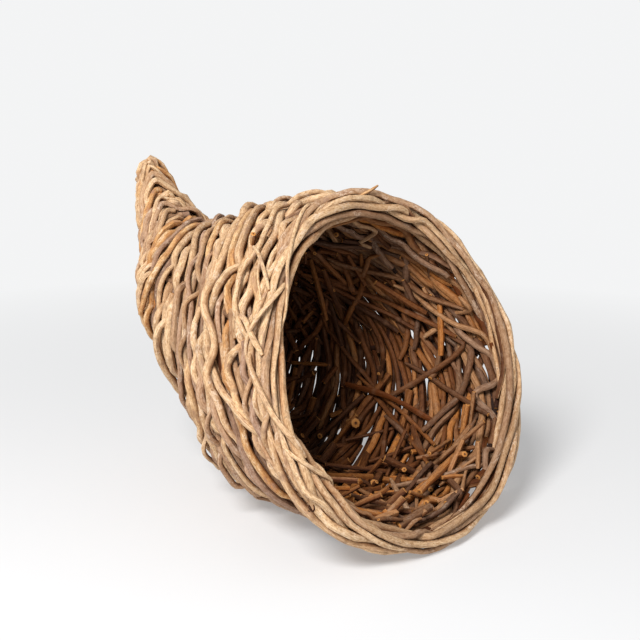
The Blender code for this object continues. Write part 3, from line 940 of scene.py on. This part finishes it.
# %% Stubs inside
BELLY = -math.pi / 2
TO_MOUTH = np.array([-0.5, -0.8, 0.3])
STUBS = 560
THICK_EVERY = 4
AIMED_EVERY = 16
STUB_POINTS = 5
STUB_SIDES = 6
STUB_STEP = 0.016
stubs = Bundle("inside_stubs")
for count in range(STUBS):
    row = dice.uniform(0.0, 0.75) ** 1.2
    theta = dice.uniform(0, FULL_TURN)
    if math.sin(theta) > -0.6 and row < 0.40 and count % 6:
        row = row + 0.30
    radius = dice.uniform(0.0016, 0.0031)
    if count % THICK_EVERY == 0:
        # The belly near the mouth is filled with thicker pieces
        row = dice.uniform(0.0, 0.34)
        theta = BELLY + dice.normal(-0.1, 0.45)
        radius = dice.uniform(0.0022, 0.0038)
    station = int(theta / FULL_TURN * STATIONS) % STATIONS
    length = float(np.clip(dice.gamma(3.0, 0.011), 0.012, 0.085))
    belly = math.exp(-((half_turned(theta - BELLY) / 0.9) ** 2))
    turn = dice.normal(-0.55 * belly, 0.40 + 0.10 * belly)
    here = np.array([row])
    half_row = math.sin(turn) * length / 2 / float(at_station(row_reach, here, station)[0])
    half_turn = math.cos(turn) * length / 2 / float(at_station(turn_reach, here, station)[0])
    low = dice.uniform(0.0065, 0.0105)
    lift = dice.uniform(0.0, 0.010) if dice.random() < 0.6 else dice.uniform(0.006, 0.022)
    rows = np.clip(np.array([row - half_row, row + half_row]), -0.12, 0.8)
    ends, outs = wall(rows, np.array([theta - half_turn, theta + half_turn]),
                      -np.array([low + lift, low] if dice.random() < 0.5 else [low, low + lift]))
    line = ends[0] + (ends[1] - ends[0]) * np.linspace(0, 1, STUB_POINTS)[:, None]
    line[1:-1] += dice.normal(0, 0.0004, (STUB_POINTS - 2, 3))
    if count % AIMED_EVERY == 0:
        # Some ends point out of the mouth and show their cut
        aim = unit(TO_MOUTH + dice.normal(0, 0.25, 3))
        line = line[0] + aim * np.linspace(-0.006, dice.uniform(0.004, 0.012), STUB_POINTS)[:, None]
    stubs.twig(line, -outs[0], radius, brown_of(row, 1.0), depth_of(row), (0.95, 0.95),
               step=STUB_STEP, knotty=length > 0.03, sides=STUB_SIDES)
stubs.piece([])

# %% [markdown]
# The rim is a loose bundle of long twigs that wind slowly round one another. Each fills
# its own place in the bundle: across the bundle they push one another apart, and along
# it they stay smooth.

# %% The places in the bundle
BORDER_ROW = -0.5551
RIM_SLOTS = 8
RIM_SHIFT = 3
RIM_SPREAD = 0.0068
RIM_SCATTER = 0.004
rim_core, rim_out = wall(np.full(STATIONS, BORDER_ROW), station_angle)
rim_ahead = unit(np.roll(rim_core, -1, 0) - np.roll(rim_core, 1, 0))
rim_front = unit(np.cross(rim_ahead, rim_out))


def along_rim(values, step):
    """The values one station further, where each slot runs on into another."""
    moved = np.roll(values, -step, 1)
    if step > 0:
        moved[:, -step:] = np.roll(values, -RIM_SHIFT, 0)[:, :step]
    else:
        moved[:, :-step] = np.roll(values, RIM_SHIFT, 0)[:, step:]
    return moved


slot = np.arange(RIM_SLOTS)[:, None]
slot_turn = FULL_TURN / RIM_SLOTS * slot + (1 + RIM_SHIFT / RIM_SLOTS) * station_angle
rim_spots = RIM_SPREAD * np.stack([np.cos(slot_turn), np.sin(slot_turn)], -1)
rim_spots += dice.normal(0, RIM_SCATTER, rim_spots.shape)
rim_radii = 0.0030 + 0.0005 * np.sin(slot * 2.4 + 2 * station_angle + np.sin(3 * station_angle))
print("places in the bundle", RIM_SLOTS, "turns of each", 1 + RIM_SHIFT / RIM_SLOTS)

# %% [markdown]
# The twigs of the bundle are settled in small steps. Where two are too near, both move
# apart, the whole bundle is drawn together a little, and each twig is eased towards its
# own neighbours along the rim, which keeps it a stiff, smooth line.

# %% Settling the bundle
SETTLE_STEPS = 160
RIM_PRESS = 1.14
RIM_PUSH = 0.30
RIM_HOLD = 0.990
RIM_PULL = 0.00003
PULL_EASE = 40
pull = dice.normal(0, 1, rim_spots.shape)
for _ in range(PULL_EASE):
    pull = (pull + along_rim(pull, 1) + along_rim(pull, -1)) / 3
pull = pull / pull.std()
for _ in range(SETTLE_STEPS):
    apart = rim_spots[:, None] - rim_spots[None]
    distance = np.linalg.norm(apart, axis=-1) + 1e-9
    need = (rim_radii[:, None] + rim_radii[None]) * RIM_PRESS
    over = np.clip(need - distance, 0, None) * (1 - np.eye(RIM_SLOTS)[:, :, None])
    rim_spots = rim_spots + RIM_PUSH * (apart / distance[..., None] * over[..., None]).sum(1)
    rim_spots = rim_spots * RIM_HOLD + pull * RIM_PULL
    rim_spots = 0.6 * rim_spots + 0.2 * (along_rim(rim_spots, 1) + along_rim(rim_spots, -1))
rim_reach = (np.linalg.norm(rim_spots, axis=-1) + rim_radii).max(0)
print("rim radius, mean and most", rim_reach.mean().round(4), rim_reach.max().round(4))

# %% [markdown]
# Each place in the bundle runs on into another after a lap, so that one endless line
# passes through all of them. It is cut into twigs of about a lap each, whose ends tuck
# into the middle of the bundle. Those that face the inside of the mouth get painted shade,
# in browner tones.

# %% The long twigs of the rim
RIM_BACK = 0.0024
FRONT_TURN = 0.003
RIM_LAPS = RIM_SLOTS * STATIONS
STATION_LENGTH = 0.0037
END_REACH = 0.016
SHARED_STATIONS = 7
LEAST_ADVANCE = 20


def rim_place(spots, stations):
    back = spots[:, 1:] + RIM_BACK
    return rim_core[stations] + rim_out[stations] * spots[:, :1] + rim_front[stations] * back


def rim_outs(spots, stations):
    """The way out of the bundle, turned a little to the mouth."""
    return unit(rim_out[stations] * spots[:, :1] + rim_front[stations] * (spots[:, 1:] - FRONT_TURN))


rim = Bundle("rim_rope")
lap_slots = [(lap * RIM_SHIFT) % RIM_SLOTS for lap in range(RIM_SLOTS)]
whole = rim_spots[lap_slots].reshape(-1, 2)
whole_radii = rim_radii[lap_slots].ravel()
begin = 0
while begin < RIM_LAPS:
    count = int(dice.uniform(0.55, 1.15) * STATIONS)
    reach = np.arange(begin, min(begin + count, RIM_LAPS + 8)) % RIM_LAPS
    stations = reach % STATIONS
    spots = whole[reach].copy()
    from_end = from_ends(len(reach)) * STATION_LENGTH
    spots = spots * (1 - 0.5 * bell(from_end, END_REACH))[:, None]
    # Painted shade: twigs toward the inside of the bundle get browner tones
    inner = np.clip(0.24 - spots[:, 0] / 0.012 * 0.45, 0, 0.7)
    rim.twig(rim_place(spots, stations), rim_outs(spots, stations), whole_radii[reach].mean(),
             tone_of(0.1, 0.9), inner, thin=(0.7, 0.6))
    begin += max(len(reach) - SHARED_STATIONS, LEAST_ADVANCE)
print("long twigs in the rim", len(rim.points))

# %% [markdown]
# Thin twigs are wound over the bundle here and there. Each turns round it as it goes,
# lies on the highest twig below it, and sinks in at its ends.

# %% The thin twigs round the rim
WOUND_TWIGS = 7
WOUND_SINK = 0.004
WOUND_END = 3.0
WOUND_THIN = (0.85, 0.7)
for _ in range(WOUND_TWIGS):
    length = int(dice.uniform(16, 40))
    stations = (dice.integers(STATIONS) + np.arange(length)) % STATIONS
    radius = dice.uniform(0.0015, 0.0024)
    turn = dice.uniform(0, FULL_TURN) + np.linspace(0, either_way(2.5, 4.5), length)
    way = np.stack([np.cos(turn), np.sin(turn)], -1)
    over = ((rim_spots[:, stations] * way).sum(-1) + rim_radii[:, stations]).max(0)
    lift = smooth(over, 2) + radius * 0.8 - WOUND_SINK * bell(from_ends(length), WOUND_END)
    spots = way * lift[:, None]
    rim.twig(rim_place(spots, stations), rim_outs(spots, stations), radius, tone_of(0.3, 1.0),
             0.1, WOUND_THIN)
rim.piece(groups["rim"])

# %% [markdown]
# What makes the basket look grown is what stands off it: a forked shoot over the lip,
# ends that were cut long, a stout stub that shows its cut, a curled tendril. They are
# set where they stand on this one basket, through places given as a row, an angle in
# degrees and a height out of the wall, and end blunt or thin.

# %% Loose ends
BLUNT = (1.0, 1.0)
THIN = (0.9, 0.6)
LOOSE_POINTS = 16
LOOSE_TWIGS = (
    ([(0.06, 131, 0.008), (0.01, 135, 0.014), (-0.40, 141, 0.013), (-0.62, 146, 0.008)],
     0.0015, 0.6, 0.0, THIN),
    ([(-0.02, 137, 0.012), (-0.20, 143, 0.013), (-0.45, 150, 0.009)], 0.0012, 0.5, 0.0, THIN),
    ([(0.05, 155, 0.007), (0.00, 157, 0.013), (-0.45, 162, 0.013), (-0.65, 166, 0.008)],
     0.0021, 0.55, 0.1, THIN),
    ([(-0.62, 88, 0.005), (-0.78, 84, 0.010), (-0.88, 82, 0.014)], 0.0014, 0.9, 0.2, THIN),
    ([(0.08, 129, 0.007), (0.06, 128, 0.015)], 0.0024, 0.9, 0.3, BLUNT),
    ([(0.262, 334, -0.016), (0.17, 328, -0.020), (0.086, 320, -0.012)], 0.0028, 1.0, 0.9, BLUNT),
    ([(-0.40, 178, 0.009), (-0.30, 205, 0.014), (-0.45, 228, 0.012), (-0.60, 250, 0.007)],
     0.0030, 0.45, 0.2, THIN),
    ([(-0.72, 30, 0.003), (-0.68, 12, -0.006), (-0.50, 350, -0.009), (-0.10, 335, -0.008)],
     0.0021, 0.6, 0.3, THIN))
loose = Bundle("loose_ends")
for spots, radius, tone, inner, thin in LOOSE_TWIGS:
    spots = np.array(spots, float)
    places, outs = wall(spots[:, 0], np.radians(spots[:, 1]), spots[:, 2])
    line = through(places, np.linspace(0, 1, LOOSE_POINTS))
    loose.twig(line, unit(outs.mean(axis=0)), radius, tone, inner, thin)
print("loose twigs", len(loose.points))

# %% [markdown]
# The stout stub points out of the mouth. The tendril is a short coil that grows from the
# rim: it goes round while it narrows and drifts off to its side.

# %% A stout stub and a tendril
STOUT_RADIUS = 0.0046
CURL_DEGREES = 214
CURL_WAY = np.array([0.75, -0.65])
CURL_WIDE = 0.0032
CURL_TIGHT = 0.0014
CURL_DRIFT = 0.004
CURL_POINTS = 26
TENDRIL_RADIUS = 0.0007
TENDRIL_THIN = (0.85, 0.7)
stout, _ = wall(0.22, math.radians(314), -0.016)
stout_line = stout + unit(TO_MOUTH) * np.linspace(-0.012, 0.008, STUB_POINTS)[:, None]
loose.twig(stout_line, (0.0, 0.0, 1.0), STOUT_RADIUS, 0.9, 0.8, BLUNT, knotty=False)
curl_station = int(CURL_DEGREES / 360 * STATIONS)
curl_root = CURL_WAY[None] * (rim_reach[curl_station] - 0.001)
curl_base = rim_place(curl_root, [curl_station])[0]
curl_ahead = rim_ahead[curl_station]
curl_away = unit(CURL_WAY[0] * rim_out[curl_station] + CURL_WAY[1] * rim_front[curl_station])
curl_side = np.cross(curl_ahead, curl_away)
curl = np.linspace(0, 3.0 * math.pi, CURL_POINTS)[:, None]
curl_size = np.linspace(CURL_WIDE, CURL_TIGHT, CURL_POINTS)[:, None]
curl_line = curl_base + curl_ahead * np.sin(curl) * curl_size
curl_line = curl_line + curl_away * (CURL_WIDE - np.cos(curl) * curl_size)
curl_line = curl_line + curl_side * np.linspace(0, CURL_DRIFT, CURL_POINTS)[:, None]
loose.twig(curl_line, curl_side, TENDRIL_RADIUS, 0.3, 0.5, TENDRIL_THIN, step=0.0012,
           knotty=False)
loose.piece([])

# %% [markdown]
# The tail is wound like a cord. Its twigs slant down from a seam that faces the mouth,
# and the last of them loop over the tip and close it.

# %% The tail
SEAM = math.radians(117)
TAIL_TWIGS = 90
TAIL_SLANT = 0.27
WIDEST_ON_TAIL = 0.0022
tail = Bundle("tail_twigs")
for _ in range(TAIL_TWIGS):
    row = dice.uniform(0.64, 1.02)
    turns = dice.uniform(0.25, 0.70)
    # Near the tip they slant less and pass over it
    slant = TAIL_SLANT * float(np.clip((1.03 - row) / 0.16, 0.25, 1))
    courses = [course(row + dice.uniform(-0.04, 0.04), dice.normal(0, 0.02), turns, 0.0015,
                      slant, SEAM) for _ in range(10)]
    courses = [(stations, np.minimum(rows, dice.uniform(1.035, 1.06))) for stations, rows in courses]
    lay(tail, outer, courses, dice.uniform(0.0021, 0.0032), tone_of(0.1, 1.0), 0.004)
fill_gaps(lambda row: tail, outer, 0.60, 0.96, WIDEST_ON_TAIL)
tail.piece(groups["tail"])

# %% [markdown]
# The floor is pale and plain. Far away it turns into the same white as the world, so
# that no edge shows. Near the basket it keeps the shadow, but a share of it glows there
# too: painted light that makes the shadow paler.

# %% Floor
BACKGROUND = (0.90, 0.905, 0.91)
FLOOR_RADIUS = 30
FLOOR_PAINT = (0.80, 0.80, 0.805, 1.0)
deselect_all()
bpy.ops.mesh.primitive_circle_add(vertices=96, radius=FLOOR_RADIUS, fill_type="NGON",
                                  location=(0, 0, -0.0005))
floor = bpy.context.object
floor.name = "floor"
sheet = Sheet(bpy.data.materials.new("floor_paint"))
place = sheet.node("ShaderNodeTexCoord", output="Object")
far = sheet.node("ShaderNodeVectorMath", {"operation": "LENGTH"}, {0: place}, output=1)
paint = sheet.node("ShaderNodeBsdfDiffuse", {}, {"Color": FLOOR_PAINT})
glow = sheet.node("ShaderNodeEmission", {}, {"Color": (*BACKGROUND, 1.0), "Strength": 1.0})
# Painted light: even near the basket 30% of the floor glows, which pales its shadow
white_share = sheet.band(far, 0.28, 1.0, 0.30, 1.0)
mixed = sheet.node("ShaderNodeMixShader", {}, {0: white_share, 1: paint, 2: glow})
sheet.node("ShaderNodeOutputMaterial", {}, {"Surface": mixed})
floor.data.materials.append(sheet.owner)
print("floor radius", FLOOR_RADIUS)

# %% [markdown]
# The light is soft: a dim white world from all sides, and one large window high behind
# the camera, to its left, that gives the shadow. The camera sees the world brighter than
# it lights.

# %% Light
SKY_LIGHT = 0.40
WINDOW_PLACE = (-1.65, -0.70, 1.7)
WINDOW_TARGET = (0, 0, 0.1)
WINDOW_SIZE = 0.9
WINDOW_POWER = 70
world = bpy.data.worlds.new("studio")
bpy.context.scene.world = world
sky = Sheet(world)
seen = sky.node("ShaderNodeLightPath", output="Is Camera Ray")
for ray in ("Is Glossy Ray", "Is Transmission Ray"):
    seen = seen.math("MAXIMUM", seen, sky.node("ShaderNodeLightPath", output=ray))
strength = SKY_LIGHT + seen * (1 - SKY_LIGHT)
glow = sky.node("ShaderNodeBackground", {}, {"Color": (*BACKGROUND, 1.0), "Strength": strength})
sky.node("ShaderNodeOutputWorld", {}, {"Surface": glow})
window_data = bpy.data.lights.new("window", "AREA")
window_data.shape = "DISK"
window_data.size = WINDOW_SIZE
window_data.energy = WINDOW_POWER
window = bpy.data.objects.new("window", window_data)
window.location = WINDOW_PLACE
window_way = np.array(WINDOW_TARGET) - np.array(WINDOW_PLACE)
window.rotation_euler = Vector(window_way).to_track_quat("-Z", "Y").to_euler()
bpy.context.scene.collection.objects.link(window)
bpy.context.scene.view_settings.view_transform = "Standard"
print("window", WINDOW_POWER, "W at", WINDOW_PLACE)

# %% [markdown]
# The camera looks slightly down at the mouth from the front left. Its picture is shifted
# and the camera not turned, so that the basket sits a little low in the frame.

# %% Camera
AZIMUTH = math.radians(-45.76)
ELEVATION = math.radians(14.38)
CAMERA_TARGET = np.array([0.0, -0.035, 0.132])
CAMERA_DISTANCE = 1.174
back = np.array([math.sin(AZIMUTH) * math.cos(ELEVATION), -math.cos(AZIMUTH) * math.cos(ELEVATION),
                 math.sin(ELEVATION)])
camera_data = bpy.data.cameras.new("camera")
camera_data.sensor_width = 36
camera_data.lens = 75.8
camera_data.shift_x = 0.0105
camera_data.shift_y = 0.0519
camera = bpy.data.objects.new("camera", camera_data)
camera.location = CAMERA_TARGET + back * CAMERA_DISTANCE
camera.rotation_euler = (math.pi / 2 - ELEVATION, 0, AZIMUTH)
bpy.context.scene.collection.objects.link(camera)
bpy.context.scene.camera = camera
print("camera at", [round(part, 3) for part in camera.location])

# %% [markdown]
